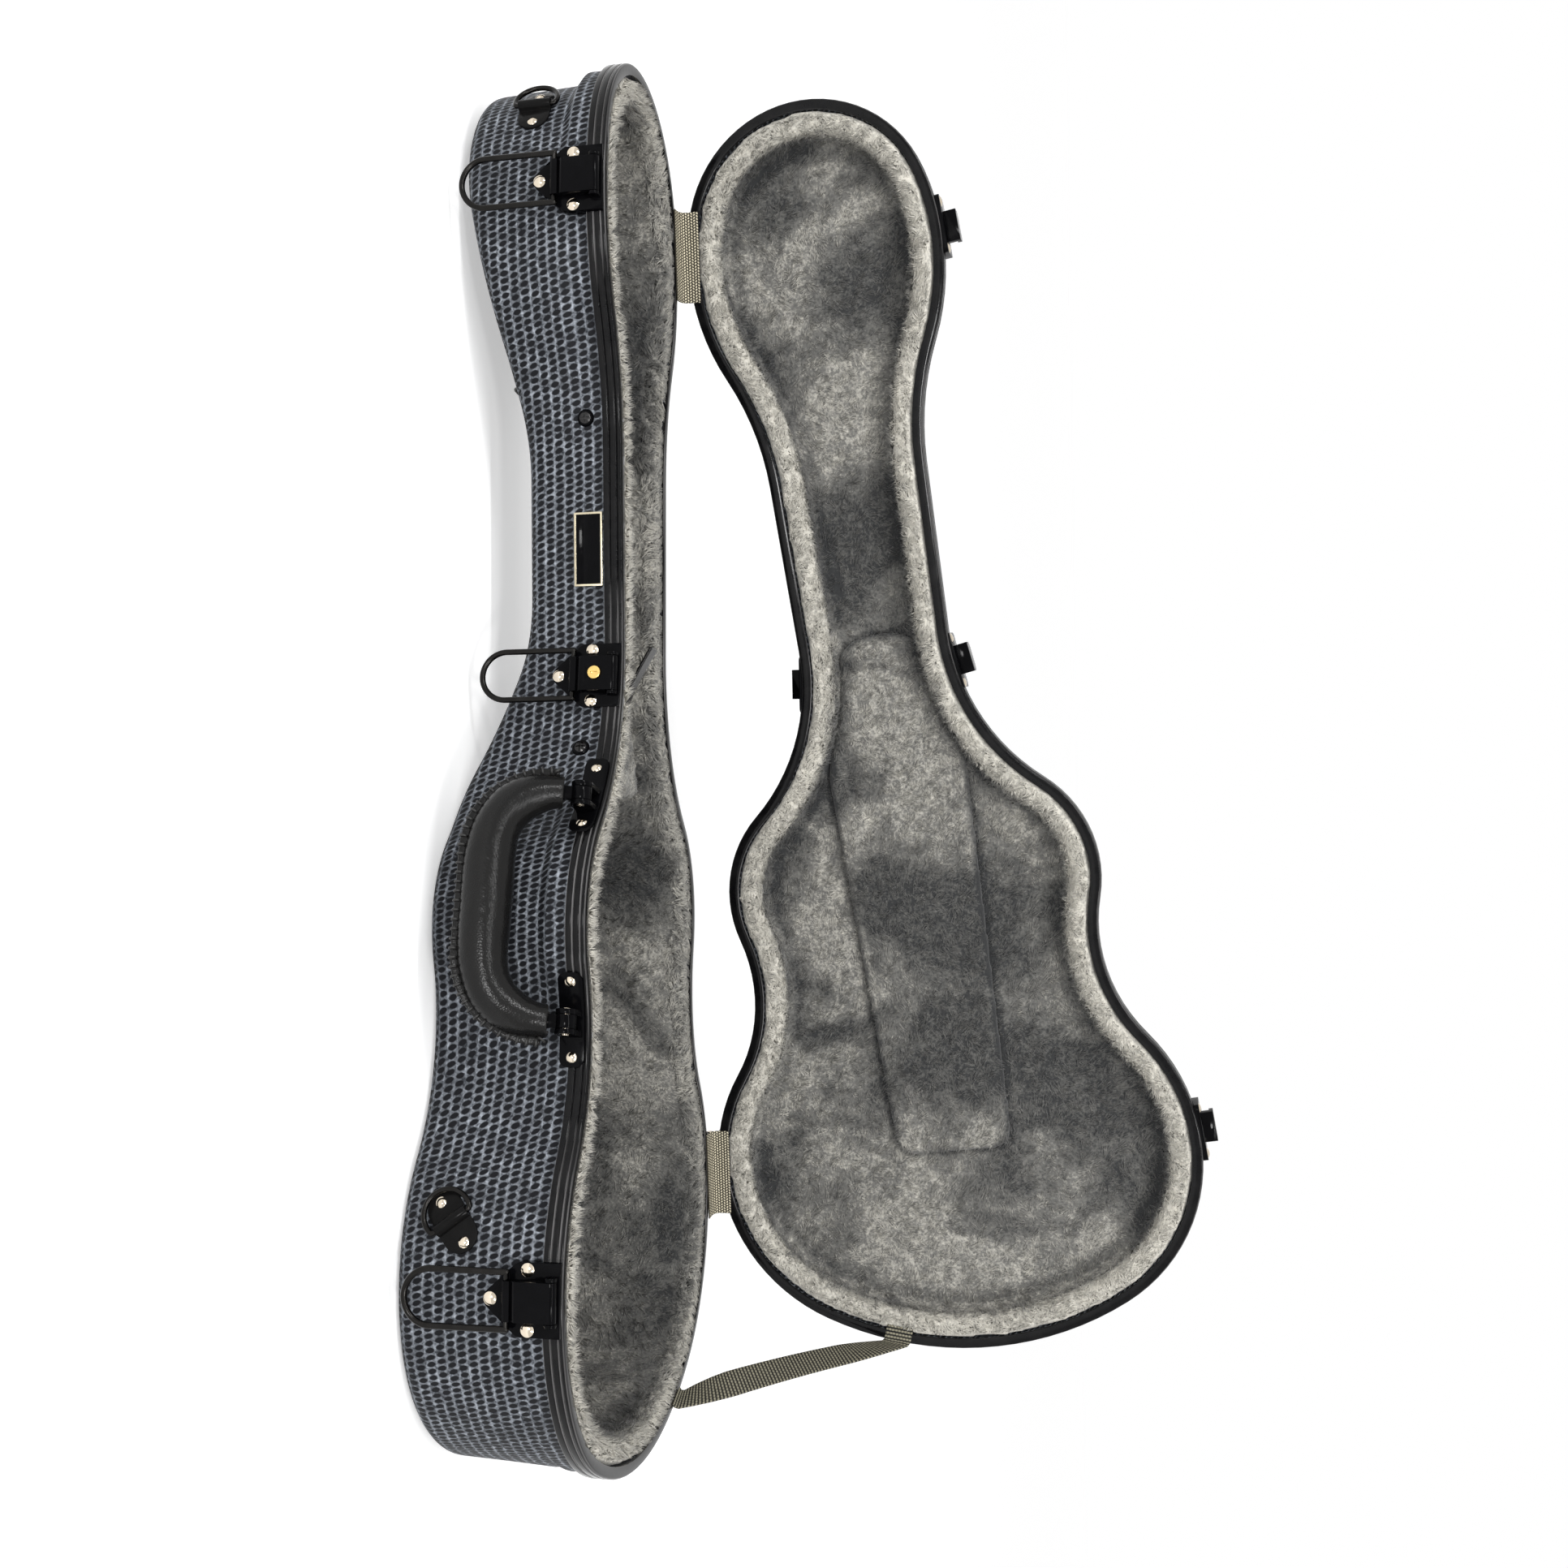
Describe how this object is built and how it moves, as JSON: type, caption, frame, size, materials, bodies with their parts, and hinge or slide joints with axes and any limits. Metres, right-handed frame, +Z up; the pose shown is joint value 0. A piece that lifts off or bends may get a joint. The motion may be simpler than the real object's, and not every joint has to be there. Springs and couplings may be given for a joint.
{
  "type": "ukulele hard case",
  "caption": "Hard case shaped to a ukulele, with a padded base and hinged lid, wire bail latches, a carrying handle and strap rings.",
  "frame": {"origin": "on the flat of the case's back, on the centreline under the body, 560 mm from the head end", "axes": "+X towards the tail end, -Y towards the handle and latches, +Z up out of the open base"},
  "size_m": [0.7507, 0.3363, 0.3873],
  "materials": {
    "woven_shell": "woven texture, satin",
    "edging": "semi-gloss",
    "plush": "deep pile",
    "webbing": "woven",
    "black_metal": "gloss black",
    "dark_steel": "black nickel",
    "nickel": "polished",
    "brass": "polished",
    "leather": "fine grain",
    "name_plate": "satin, bare"
  },
  "bodies": {
    "base": {"base_edging": "edging", "base_hinge_leaves": "black_metal", "base_lining": "plush", "base_shell": "woven_shell", "cup_washers": "black_metal", "handle_mounts": "black_metal", "handle_pins": "nickel", "handle_rivets": "nickel", "hinge_pins": "nickel", "hinge_webbing_head": "webbing", "hinge_webbing_tail": "webbing", "latch_pins": "nickel", "latch_plate_head": "black_metal", "latch_plate_neck": "black_metal", "latch_plate_rear": "black_metal", "latch_plate_tail": "black_metal", "latch_rivets": "nickel", "name_plate": "name_plate", "neck_block": "plush", "neck_screws": "black_metal", "ring_plate_back": "black_metal", "ring_plate_head": "black_metal", "ring_plate_side": "black_metal", "ring_rivets": "nickel", "stay_strap": "webbing"},
    "lid": {"lid_shell": "woven_shell", "lid_edging": "edging", "lid_lining": "plush", "lid_center_pad": "plush", "lid_hinge_leaves": "black_metal", "catches": "black_metal", "catch_rivets": "nickel"},
    "compartment_lid": {"compartment_lid": "plush", "pull_tab": "leather"},
    "handle": {"handle_grip": "leather", "handle_end_loops": "black_metal"},
    "lock": {"lock_barrel": "brass"},
    "lever_head": {"lever_head": "black_metal"},
    "bail_head": {"bail_head": "dark_steel"},
    "lever_neck": {"lever_neck": "black_metal"},
    "bail_neck": {"bail_neck": "dark_steel"},
    "lever_tail": {"lever_tail": "black_metal"},
    "bail_tail": {"bail_tail": "dark_steel"},
    "lever_rear": {"lever_rear": "black_metal"},
    "bail_rear": {"bail_rear": "dark_steel"},
    "ring_head": {"ring_head": "dark_steel"},
    "ring_side": {"ring_side": "dark_steel"},
    "ring_back": {"ring_back": "dark_steel"}
  },
  "joints": [
    {"name": "lid_hinge", "type": "hinge", "parent": "base", "child": "lid", "pos_m": [-0.488, 0.07837, 0.0842], "axis": [0.9916, 0.1295, 0], "range_deg": [0, 87], "deforming": ["hinge_webbing_head", "hinge_webbing_tail", "stay_strap"]},
    {"name": "lever_head_pivot", "type": "hinge", "parent": "base", "child": "lever_head", "pos_m": [-0.47464, -0.07948, 0.0796], "axis": [0.9995, -0.0314, 0], "range_deg": [-110, 0]},
    {"name": "bail_head_pivot", "type": "hinge", "parent": "lever_head", "child": "bail_head", "pos_m": [-0.47464, -0.07948, 0.059], "axis": [-0.9995, 0.0314, 0], "range_deg": [0, 180]},
    {"name": "lever_neck_pivot", "type": "hinge", "parent": "base", "child": "lever_neck", "pos_m": [-0.22962, -0.05014, 0.0796], "axis": [0.9905, -0.1373, 0], "range_deg": [-110, 0]},
    {"name": "bail_neck_pivot", "type": "hinge", "parent": "lever_neck", "child": "bail_neck", "pos_m": [-0.22962, -0.05014, 0.059], "axis": [-0.9905, 0.1373, 0], "range_deg": [0, 180]},
    {"name": "lever_tail_pivot", "type": "hinge", "parent": "base", "child": "lever_tail", "pos_m": [0.06032, -0.14956, 0.0796], "axis": [0.9992, -0.04, 0], "range_deg": [-110, 0]},
    {"name": "bail_tail_pivot", "type": "hinge", "parent": "lever_tail", "child": "bail_tail", "pos_m": [0.06032, -0.14956, 0.059], "axis": [-0.9992, 0.04, 0], "range_deg": [0, 180]},
    {"name": "lever_rear_pivot", "type": "hinge", "parent": "base", "child": "lever_rear", "pos_m": [-0.22962, 0.05014, 0.0796], "axis": [-0.9905, -0.1373, 0], "range_deg": [-110, 0]},
    {"name": "bail_rear_pivot", "type": "hinge", "parent": "lever_rear", "child": "bail_rear", "pos_m": [-0.22962, 0.05014, 0.059], "axis": [0.9905, 0.1373, 0], "range_deg": [0, 180]},
    {"name": "lock_turn", "type": "hinge", "parent": "lever_neck", "child": "lock", "pos_m": [-0.2301, -0.05355, 0.0711], "axis": [-0.1373, -0.9905, 0], "range_deg": [0, 90]},
    {"name": "handle_swing", "type": "hinge", "parent": "base", "child": "handle", "pos_m": [-0.1135, -0.1031, 0.076], "axis": [-0.9738, 0.2275, 0], "range_deg": [0, 110]},
    {"name": "compartment_hinge", "type": "hinge", "parent": "base", "child": "compartment_lid", "pos_m": [-0.3276, 0, 0.068], "axis": [0, 1, 0], "range_deg": [-100, 0]},
    {"name": "ring_head_swing", "type": "hinge", "parent": "base", "child": "ring_head", "pos_m": [-0.52398, -0.05546, 0.041], "axis": [0, 0, 1], "range_deg": [0, 170]},
    {"name": "ring_side_swing", "type": "hinge", "parent": "base", "child": "ring_side", "pos_m": [0.0291, -0.13664, 0.028], "axis": [-0.5776, 0.213, 0.788], "range_deg": [0, 170]},
    {"name": "ring_back_swing", "type": "hinge", "parent": "base", "child": "ring_back", "pos_m": [-0.3815, 0, 0.02291], "axis": [0, -1, 0], "range_deg": [-35, 140]}
  ]
}
